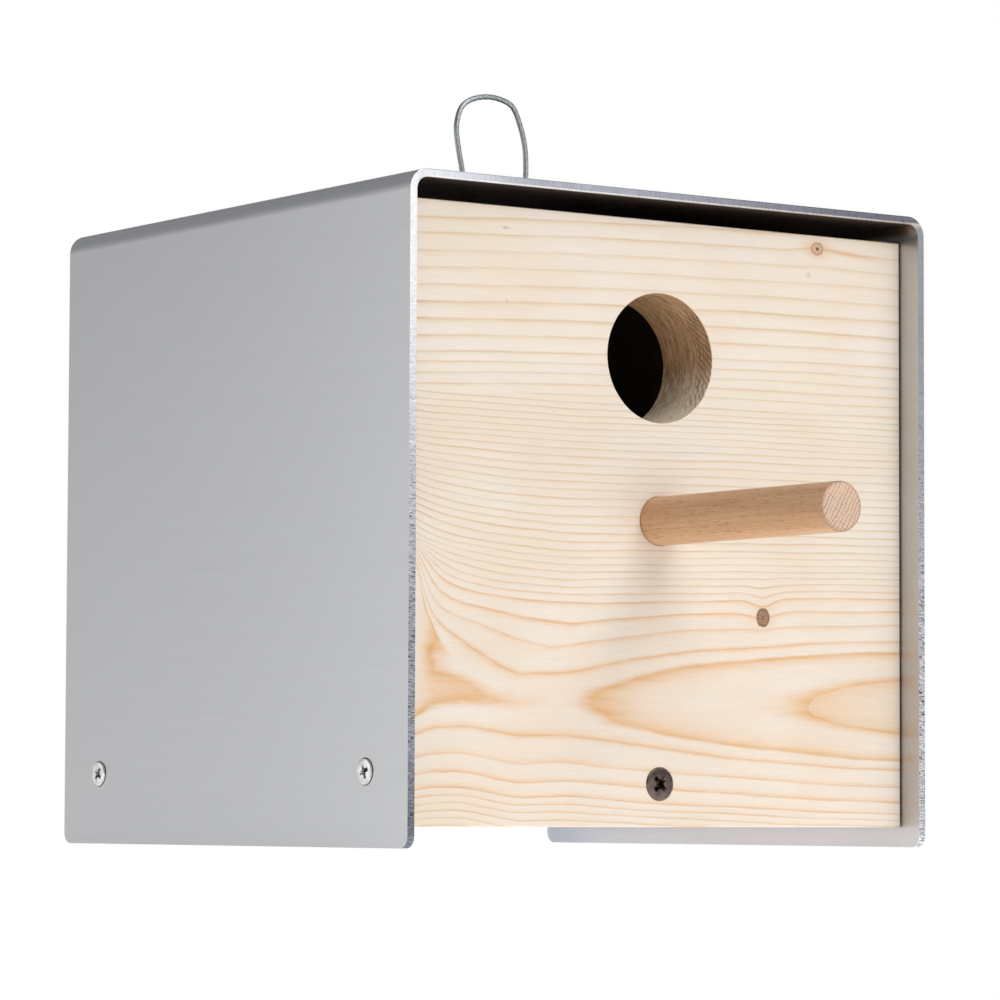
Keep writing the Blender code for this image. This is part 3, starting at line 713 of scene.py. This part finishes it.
def hood_profile():
    """The sheet's outline in the XZ plane, once round, counter-clockwise from the front."""
    half = (HOOD_HIGH.x - HOOD_LOW.x) / 2
    top = HOOD_HIGH.z
    inner = half - SHEET
    steps = 14
    hold = 0.15

    def bend(side, radius, from_deg, to_deg):
        points = []
        for step in range(steps + 1):
            angle = math.radians(from_deg + (to_deg - from_deg) * step / steps)
            x = side * (half - BEND_RADIUS) + radius * math.cos(angle)
            points.append((x, top - BEND_RADIUS + radius * math.sin(angle)))
        return points

    outer_right = bend(1, BEND_RADIUS, 0, 90)
    outer_left = bend(-1, BEND_RADIUS, 90, 180)
    inner_left = bend(-1, BEND_RADIUS - SHEET, 180, 90)
    inner_right = bend(1, BEND_RADIUS - SHEET, 90, 0)
    low = top - BEND_RADIUS - hold
    far = half - BEND_RADIUS - hold
    outline = [(half, 0.0), (half, low), *outer_right, (far, top), (-far, top), *outer_left]
    outline += [(-half, low), (-half, 0.0), (-inner, 0.0), (-inner, low), *inner_left]
    outline += [(-far, top - SHEET), (far, top - SHEET), *inner_right, (inner, low), (inner, 0.0)]
    return outline


def sheet_run(x, z):
    """How far round the sheet a point is, from the left foot over the roof to the right foot."""
    half = (HOOD_HIGH.x - HOOD_LOW.x) / 2
    straight = HOOD_HIGH.z - BEND_RADIUS
    quarter = math.pi / 2 * BEND_RADIUS
    roof = 2 * (half - BEND_RADIUS)
    middle = straight + quarter + roof / 2
    side = 1 if x > 0 else -1
    if z <= straight:
        return middle + side * (roof / 2 + quarter + straight - z)
    if abs(x) <= half - BEND_RADIUS:
        return middle + x
    angle = math.atan2(abs(x) - (half - BEND_RADIUS), z - straight)
    return middle + side * (roof / 2 + angle * BEND_RADIUS)


def lay_out_sheet(piece):
    """Gives each face its place along and across the grinding lines, in the map 'sheet'."""
    mesh = piece.data
    layer = mesh.uv_layers.new(name="sheet")
    for face in mesh.polygons:
        on_end = abs(face.normal.y) > 0.5
        on_foot = face.normal.z < -0.5 and face.center.z < 0.004
        face.material_index = 1 if on_end or on_foot else 0
        for loop in face.loop_indices:
            point = mesh.vertices[mesh.loops[loop].vertex_index].co / MM
            run = sheet_run(point.x, point.z)
            if on_end:
                layer.data[loop].uv = (run * MM, (point.x + point.z) * MM)
            elif on_foot:
                layer.data[loop].uv = (point.y * MM, point.x * MM)
            else:
                layer.data[loop].uv = (run * MM, point.y * MM)


def make_hood(materials):
    depth = HOOD_HIGH.y - HOOD_LOW.y
    bm = bmesh.new()
    front = bm.faces.new([bm.verts.new((x, HOOD_LOW.y, z)) for x, z in hood_profile()])
    sides = bmesh.ops.extrude_face_region(bm, geom=[front])
    moved = [item for item in sides["geom"] if isinstance(item, bmesh.types.BMVert)]
    bmesh.ops.translate(bm, verts=moved, vec=(0, depth, 0))
    bmesh.ops.recalc_face_normals(bm, faces=bm.faces)
    corners = []
    for edge in bm.edges:
        ends = edge.verts
        along_x = abs(ends[0].co.x - ends[1].co.x) > SHEET / 2
        at_foot = max(abs(vert.co.z) for vert in ends) < 0.01
        at_end = min(abs(vert.co.y - HOUSE_Y) for vert in ends) > depth / 2 - 0.01
        if along_x and at_foot and at_end:
            corners.append(edge)
    round_edges(bm, corners, FOOT_RADIUS, 8)
    rims = []
    for edge in bm.edges:
        if len(edge.link_faces) == 2 and edge.calc_face_angle() > math.radians(60):
            rims.append(edge)
    round_edges(bm, rims, SHEET_EDGE, 2)
    hood = add_piece("hood_shell", bm, materials, "house", "hood")
    cutters = []
    for side, side_name in SIDES:
        start = (side * LEG_OFFSET, HOUSE_Y, HOOD_HIGH.z - 2 * SHEET)
        hole = turned([(ROPE_HOLE_RADIUS, 0), (ROPE_HOLE_RADIUS, 4 * SHEET)], 32)
        cutters.append(aimed(hole, start, (0, 0, 1)))
        for _, end_name in ENDS:
            center = center_of(f"hood_screw_{side_name}_{end_name}")
            seat = turned([(2.05, -2 * SHEET), (2.05, -1.3), (3.35, 0.0), (4.35, 1.0)], 48)
            cutters.append(aimed(seat, (side * HOOD_HIGH.x, center.y, center.z), (side, 0, 0)))
    carve(hood, cutters)
    lay_out_sheet(hood)
    weigh_normals(hood)


# Boards.


def block(low, high, edge):
    """A box with rounded edges."""
    bm = bmesh.new()
    bmesh.ops.create_cube(bm, size=1.0)
    for vert in bm.verts:
        for axis in range(3):
            vert.co[axis] = high[axis] if vert.co[axis] > 0 else low[axis]
    round_edges(bm, list(bm.edges), edge, 6)
    return bm


def bore(radius, depth, lip, steps):
    """A cutter that goes down from z = 0, with a softened lip."""
    profile = [
        (radius, -depth),
        (radius, -lip),
        (radius + lip * 0.3, -lip * 0.35),
        (radius + lip, 0.0),
        (radius + lip + 1.0, 1.0),
    ]
    return turned(profile, steps)


def end_board_cutters(end, low, high):
    """Dowel holes, screw pilots and the floor screw's countersink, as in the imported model."""
    cutters = []
    outer = low.y if end < 0 else high.y
    inner = high.y if end < 0 else low.y
    end_name = "front" if end < 0 else "back"
    for side, side_name in SIDES:
        for level in ("lower", "upper"):
            center = center_of(f"dowel_{end_name}_{side_name}_{level}")
            hole = turned([(3.3, -10.3), (3.3, 2.0)], 32)
            cutters.append(aimed(hole, (center.x, inner, center.z), (0, -end, 0)))
        center = center_of(f"hood_screw_{side_name}_{end_name}")
        hole = turned([(2.05, -17.9), (2.05, 2.0)], 32)
        x = low.x if side < 0 else high.x
        cutters.append(aimed(hole, (x, center.y, center.z), (side, 0, 0)))
    center = center_of(f"floor_screw_{end_name}")
    seat = turned([(2.3, -22.0), (2.3, -2.0), (4.14, -0.15), (4.16, 0.0), (4.5, 1.0)], 64)
    cutters.append(aimed(seat, (0, outer, center.z), (0, end, 0)))
    return cutters


def make_end_boards(front_material, back_material):
    thickness = FRONT_HIGH.y - FRONT_LOW.y
    bm = block(FRONT_LOW, FRONT_HIGH, BOARD_EDGE)
    front = add_piece("front_panel", bm, [front_material], "house", "front_board")
    cutters = end_board_cutters(-1, FRONT_LOW, FRONT_HIGH)
    entrance = bore(ENTRANCE_RADIUS, thickness + 2.0, 0.18, 128)
    cutters.append(aimed(entrance, (0, FACE_Y, ENTRANCE_Z), (0, -1, 0)))
    perch_hole = bore((PERCH_HIGH.x - PERCH_LOW.x) / 2 + 0.06, thickness + 2.0, 0.2, 96)
    cutters.append(aimed(perch_hole, (0, FACE_Y, PERCH_Z), (0, -1, 0)))
    carve(front, cutters, BOARD_SHARP)
    weigh_normals(front)
    bm = block(BACK_LOW, BACK_HIGH, BOARD_EDGE)
    back = add_piece("back_panel", bm, [back_material], "house", "back_board")
    carve(back, end_board_cutters(1, BACK_LOW, BACK_HIGH), BOARD_SHARP)
    weigh_normals(back)


def make_perch(material):
    radius = (PERCH_HIGH.x - PERCH_LOW.x) / 2
    length = PERCH_HIGH.y - PERCH_LOW.y
    edge = 0.45
    profile = [(radius - 0.3, 0.0), (radius, 0.3)]
    rows = 12
    for row in range(1, rows):
        profile.append((radius, (length - edge) * row / rows))
    for step in range(6):
        angle = math.pi / 2 * step / 5
        inset = edge * (1 - math.cos(angle))
        profile.append((radius - inset, length - edge + edge * math.sin(angle)))
    bm = aimed(turned(profile, 96), (0, PERCH_HIGH.y, PERCH_Z), (0, -1, 0))
    add_piece("perch_rod", bm, [material], "house", "perch")


# Screws.


def star_cutter(head, spin):
    """A cross recess with a short notch between its arms, narrowing downwards."""
    arm = 0.56 * head
    half = 0.15 * head
    notch = 0.30 * head
    notch_half = 0.045 * head
    arm_end = ((arm * 0.93, half), (arm, half * 0.6))
    notch_end = ((notch * 0.9, notch_half), (notch, notch_half))
    outline = []
    for eighth in range(8):
        turn = Matrix.Rotation(spin + math.pi / 4 * eighth, 2)
        (near, wide), (far, narrow) = notch_end if eighth % 2 else arm_end
        for corner in ((near, -wide), (far, -narrow), (far, narrow), (near, wide)):
            outline.append(turn @ Vector(corner))
    bm = bmesh.new()
    rings = []
    for scale, height in ((0.52, -1.6), (0.92, -0.25), (1.0, 0.0), (1.06, 0.5)):
        rings.append([bm.verts.new((*(point * scale), height)) for point in outline])
    skin(bm, rings)
    bmesh.ops.recalc_face_normals(bm, faces=bm.faces)
    return bm


def make_screw(node, name, direction, head, rim, shank, spin, material, body):
    """A countersunk screw with a cross recess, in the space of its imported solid."""
    low, high = (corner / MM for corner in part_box(node))
    center = (low + high) / 2
    way = Vector(direction)
    length = abs((high - low).dot(way))
    face = center + way * length / 2
    soft = min(rim, 0.3)
    cone_foot = -rim - (head - shank)
    tip = -length
    profile = [(0.6, tip), (shank * 0.8, tip + 2.5)]
    pitch = 1.6
    start = tip + 2.5
    stop = cone_foot - 4.0
    count = int((stop - start) / pitch)
    for turn in range(count):
        base = start + turn * pitch
        root = shank * 0.72
        profile += [(root, base + 0.3), (shank * 0.99, base + pitch * 0.5), (root, base + 1.3)]
    profile += [(shank * 0.86, stop + 0.6), (shank * 0.86, cone_foot), (head - 0.05, -rim - 0.05)]
    profile += [(head, -rim), (head, -soft)]
    for step in range(1, 5):
        angle = math.pi / 2 * step / 4
        profile.append((head - soft * (1 - math.cos(angle)), -soft + soft * math.sin(angle)))
    bm = turned(profile, 64)
    aimed(bm, face, direction)
    screw = add_piece(name, bm, [material], body, node)
    cutters = [star_cutter(head, spin)]
    carve(screw, [aimed(cutter, face, direction) for cutter in cutters])


def make_screws(bright, dark):
    quarter = math.pi / 4
    for side, side_name in SIDES:
        for end_name, spin in (("front", 0.35), ("back", 0.9)):
            node = f"hood_screw_{side_name}_{end_name}"
            name = f"side_screw_{side_name}_{end_name}"
            make_screw(node, name, (side, 0, 0), 3.2, 0.35, 1.75, spin, bright, "house")
    for end, end_name in ENDS:
        node = f"floor_screw_{end_name}"
        name = f"pivot_screw_{end_name}"
        make_screw(node, name, (0, end, 0), 4.0, 0.4, 2.0, quarter, dark, "floor")


# Rope.


# The loop's visible part, as in part.py: from the left hole over the top to the right one.
LOOP_ROUTE = [
    (-8.0, 160.4), (-7.8, 166.0), (-8.6, 173.6), (-9.7, 179.0), (-10.5, 184.0),
    (-10.2, 187.3), (-9.0, 190.4), (-6.7, 192.4), (-3.4, 193.6), (0.0, 194.0),
    (3.2, 193.7), (6.3, 192.7), (8.0, 191.0), (9.3, 188.2), (10.6, 184.4),
    (11.4, 179.8), (11.4, 173.0), (10.3, 166.4), (8.0, 160.4),
]
LEG_BOTTOM = 152.6
SLEEVE_Z = 149.2
SLEEVE_LENGTH = 9.0
ROPE_TAIL = 1.2
ROPE_SIDE_STEP = 0.85


def rope_end(side):
    """From a roof hole down and round into the sleeve and out of its far end."""
    bend = LEG_BOTTOM - SLEEVE_Z
    center_x = LEG_OFFSET - bend
    tail = SLEEVE_LENGTH / 2 + ROPE_TAIL
    points = [Vector((side * LEG_OFFSET, 0, HOOD_HIGH.z - SHEET / 2))]
    points.append(Vector((side * LEG_OFFSET, 0, (HOOD_HIGH.z + LEG_BOTTOM) / 2)))
    steps = 4
    for step in range(steps + 1):
        angle = math.pi / 2 * step / steps
        x = side * (center_x + bend * math.cos(angle))
        z = LEG_BOTTOM - bend * math.sin(angle)
        sideways = side * ROPE_SIDE_STEP * (1 - math.cos(math.pi * step / steps)) / 2
        points.append(Vector((x, sideways, z)))
    points.append(Vector((0, side * ROPE_SIDE_STEP, SLEEVE_Z)))
    points.append(Vector((-side * tail, side * ROPE_SIDE_STEP, SLEEVE_Z)))
    return points


def smooth_curve(points, spacing):
    """Points at equal steps along a Catmull-Rom curve through the given points."""
    fine = []
    steps = 24
    padded = [2 * points[0] - points[1]] + points + [2 * points[-1] - points[-2]]
    for a, b, c, d in zip(padded, padded[1:], padded[2:], padded[3:]):
        for step in range(steps):
            t = step / steps
            term = (b * 2) + (c - a) * t
            term += (a * 2 - b * 5 + c * 4 - d) * t**2
            term += (b * 3 - a - c * 3 + d) * t**3
            fine.append(term / 2)
    fine.append(points[-1])
    lengths = [0.0]
    for first, second in zip(fine, fine[1:]):
        lengths.append(lengths[-1] + (second - first).length)
    count = int(lengths[-1] / spacing)
    even = []
    index = 0
    for step in range(count + 1):
        target = lengths[-1] * step / count
        while index < len(fine) - 2 and lengths[index + 1] < target:
            index += 1
        span = lengths[index + 1] - lengths[index]
        even.append(fine[index].lerp(fine[index + 1], (target - lengths[index]) / span))
    return even


def make_rope(material):
    """A laid wire rope: one skin whose section has a lobe for each strand and turns with the lay."""
    strands = 6
    sides = 60
    lay = 11.0
    groove = 0.07
    route = list(reversed(rope_end(-1)))
    route += [Vector((x, 0, z)) for x, z in LOOP_ROUTE]
    route += rope_end(1)
    points = smooth_curve(route, 0.3)
    bm = bmesh.new()
    shade = bm.verts.layers.float.new("groove")
    rings = []
    normal = Vector((0, 1, 0))
    travelled = 0.0
    for index, point in enumerate(points):
        before = points[max(index - 1, 0)]
        after = points[min(index + 1, len(points) - 1)]
        way = (after - before).normalized()
        normal = (normal - way * normal.dot(way)).normalized()
        other = way.cross(normal)
        if index:
            travelled += (point - before).length
        twist = 2 * math.pi * travelled / lay
        ring = []
        for side in range(sides):
            angle = 2 * math.pi * side / sides
            lobe = abs(math.sin(strands / 2 * (angle - twist)))
            radius = ROPE_RADIUS * (1 - groove * (1 - lobe) ** 1.6)
            place = point + (normal * math.cos(angle) + other * math.sin(angle)) * radius
            vert = bm.verts.new((place.x, place.y + HOUSE_Y, place.z))
            vert[shade] = (1 - lobe) ** 1.6
            ring.append(vert)
        rings.append(ring)
    skin(bm, rings)
    bmesh.ops.recalc_face_normals(bm, faces=bm.faces)
    add_piece("wire_rope_loop", bm, [material], "loop", "hanging_loop")


def make_sleeve(material):
    """The oval sleeve, pressed in three places so that it grips both rope ends."""
    wall = 1.0
    inner = ROPE_RADIUS + 0.3
    length = SLEEVE_HIGH.x - SLEEVE_LOW.x
    center_z = (SLEEVE_LOW.z + SLEEVE_HIGH.z) / 2
    presses = (-0.28, 0.0, 0.28)
    rows = 45
    around = 48
    bm = bmesh.new()
    skins = []
    for outer in (True, False):
        rings = []
        for row in range(rows + 1):
            along = (row / rows - 0.5) * length
            radius = inner + (wall if outer else 0.0)
            squeeze = sum(math.exp(-(((along / length) - press) / 0.055) ** 2) for press in presses)
            end_round = max(0.0, abs(along) - (length / 2 - 0.3)) / 0.3
            if outer:
                radius -= 0.2 * squeeze + 0.22 * end_round**2
            ring = []
            for side in range(around):
                angle = 2 * math.pi * side / around
                flat = ROPE_SIDE_STEP * (1 if math.cos(angle) > 0 else -1)
                if abs(math.cos(angle)) < 1e-6:
                    flat = 0.0
                y = flat + radius * math.cos(angle)
                z = radius * math.sin(angle)
                ring.append(bm.verts.new((along, HOUSE_Y + y, center_z + z)))
            rings.append(ring)
        skins.append(rings)
    for rings in skins:
        skin(bm, rings, capped=False)
    for row in (0, rows):
        skin(bm, [skins[0][row], skins[1][row]], capped=False)
    bmesh.ops.recalc_face_normals(bm, faces=bm.faces)
    add_piece("crimp_sleeve", bm, [material], "loop", "loop_sleeve")


# Carried-over nodes.


def dress_cad_nodes(side_wood, floor_wood, dowel_wood):
    finishes = {"left_side_board": side_wood, "right_side_board": side_wood, "floor_board": floor_wood}
    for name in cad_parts:
        if name.startswith("dowel"):
            finishes[name] = dowel_wood
    for name, material in finishes.items():
        mesh = bpy.data.objects[name].data
        if not mesh.materials:
            mesh.materials.append(material)
        for index in range(len(mesh.materials)):
            mesh.materials[index] = material


# Studio.


CAMERA_PLACE = (-670.5, -964.37, 9.24)
CAMERA_HEADING = 34.957
CAMERA_PITCH = 3.884
CAMERA_ROLL = 0.206
CAMERA_LENS = 163.93


def make_camera():
    camera = bpy.data.cameras.new("camera")
    camera.lens = CAMERA_LENS
    camera.sensor_width = 36.0
    camera.clip_start = 0.05
    camera.clip_end = 60.0
    holder = bpy.data.objects.new("camera", camera)
    x, y, z = CAMERA_PLACE
    place = Matrix.Translation(Vector((x, y + HOUSE_Y, z)) * MM)
    heading = Matrix.Rotation(math.radians(-CAMERA_HEADING), 4, "Z")
    pitch = Matrix.Rotation(math.radians(90 + CAMERA_PITCH), 4, "X")
    roll = Matrix.Rotation(math.radians(CAMERA_ROLL), 4, "Z")
    holder.matrix_world = place @ heading @ pitch @ roll
    bpy.context.scene.collection.objects.link(holder)
    bpy.context.scene.camera = holder


def add_softbox(name, azimuth, elevation, distance, width, height, power):
    """A rectangular light that faces the house. Azimuth 0 is in front, 90 is on the right."""
    light = bpy.data.lights.new(name, "AREA")
    light.shape = "RECTANGLE"
    light.size = width
    light.size_y = height
    light.energy = power
    holder = bpy.data.objects.new(name, light)
    turn = math.radians(azimuth)
    rise = math.radians(elevation)
    way = Vector((math.sin(turn) * math.cos(rise), -math.cos(turn) * math.cos(rise), math.sin(rise)))
    target = Vector((0, HOUSE_Y, 80)) * MM
    holder.location = target + way * distance
    holder.rotation_euler = way.to_track_quat("Z", "Y").to_euler()
    bpy.context.scene.collection.objects.link(holder)


def smooth_range(tree, value, start, end, low, high):
    made = tree.nodes.new("ShaderNodeMapRange")
    made.interpolation_type = "SMOOTHSTEP"
    numbers = {"From Min": start, "From Max": end, "To Min": low, "To Max": high}
    for key, number in numbers.items():
        made.inputs[key].default_value = number
    tree.links.new(value, made.inputs["Value"])
    return made.outputs[0]


def seen_or_lighting(tree, lighting, seen, output):
    """Sends one shader to the camera and the other to every other ray."""
    path = tree.nodes.new("ShaderNodeLightPath")
    choose = tree.nodes.new("ShaderNodeMixShader")
    tree.links.new(path.outputs["Is Camera Ray"], choose.inputs[0])
    tree.links.new(lighting.outputs[0], choose.inputs[1])
    tree.links.new(seen.outputs[0], choose.inputs[2])
    tree.links.new(choose.outputs[0], output.inputs[0])


def make_world():
    """Light from all round, brightest near the ground and behind. The camera sees pure white."""
    world = bpy.data.worlds.new("studio")
    bpy.context.scene.world = world
    world.use_nodes = True
    tree = world.node_tree
    tree.nodes.clear()
    place = tree.nodes.new("ShaderNodeTexCoord")
    split = tree.nodes.new("ShaderNodeSeparateXYZ")
    tree.links.new(place.outputs["Generated"], split.inputs[0])
    rise = smooth_range(tree, split.outputs[2], -0.02, 0.24, 1.08, 0.22)
    depth = smooth_range(tree, split.outputs[1], -0.7, 0.2, 0.5, 1.0)
    strength = tree.nodes.new("ShaderNodeMath")
    strength.operation = "MULTIPLY"
    tree.links.new(rise, strength.inputs[0])
    tree.links.new(depth, strength.inputs[1])
    around = tree.nodes.new("ShaderNodeBackground")
    tree.links.new(strength.outputs[0], around.inputs["Strength"])
    backdrop = tree.nodes.new("ShaderNodeBackground")
    for node in (around, backdrop):
        node.inputs["Color"].default_value = (1, 1, 1, 1)
    seen_or_lighting(tree, around, backdrop, tree.nodes.new("ShaderNodeOutputWorld"))


def make_floor_plane():
    """A plain floor that glows a little, like a light table. The camera sees it pure white."""
    bm = bmesh.new()
    bmesh.ops.create_grid(bm, x_segments=1, y_segments=1, size=6000.0)
    bmesh.ops.translate(bm, verts=bm.verts, vec=(0, 0, -0.05))
    material = bpy.data.materials.new("studio_floor")
    material.use_nodes = True
    tree = material.node_tree
    shader = tree.nodes["Principled BSDF"]
    shader.inputs["Base Color"].default_value = (0.85, 0.85, 0.85, 1)
    shader.inputs["Roughness"].default_value = 0.8
    shader.inputs["Specular IOR Level"].default_value = 0.1
    shader.inputs["Emission Color"].default_value = (1, 1, 1, 1)
    shader.inputs["Emission Strength"].default_value = 0.62
    backdrop = tree.nodes.new("ShaderNodeEmission")
    seen_or_lighting(tree, shader, backdrop, tree.nodes["Material Output"])
    floor = add_piece("studio_floor", bm, [material], None)


def make_studio():
    make_camera()
    make_world()
    make_floor_plane()
    add_softbox("key_softbox", 5, 27, 1.7, 0.9, 0.7, 6.5)
    add_softbox("top_softbox", 0, 66, 1.6, 1.0, 1.0, 5.4)
    add_softbox("left_rear_softbox", -132, -2, 1.8, 0.6, 0.9, 2.1)
    add_softbox("right_front_softbox", 38, 17, 2.0, 0.5, 0.45, 1.6)
    add_softbox("shadow_softbox", 18, 38, 1.8, 0.45, 0.45, 3.4)
    view = bpy.context.scene.view_settings
    view.view_transform = "Standard"


def build():
    make_studio()
    make_hood([brushed_steel(), cut_steel()])
    make_end_boards(front_spruce(), plain_spruce("spruce_back", "x", 190.0, BACK_LOW.y + 40, 21.0))
    side_wood = plain_spruce("spruce_side", "y", -30.0, 120.0, 33.0)
    floor_wood = plain_spruce("spruce_floor", "x", -22.0, 60.0, 47.0)
    make_perch(beech("beech_perch", 0.0, PERCH_Z))
    dress_cad_nodes(side_wood, floor_wood, beech("beech_dowel", 66.45, 45.0))
    screw_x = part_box("hood_screw_right_front")[1].x / MM
    screw_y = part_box("floor_screw_back")[1].y / MM - HOUSE_Y
    bright = screw_metal("zinc_screw", srgb(196, 197, 196), srgb(226, 226, 224), 0.3, "x", screw_x)
    dark = screw_metal("dark_screw", srgb(98, 85, 81), srgb(124, 109, 103), 0.26, "y", screw_y)
    make_screws(bright, dark)
    make_rope(rope_metal())
    make_sleeve(sleeve_metal())


build()
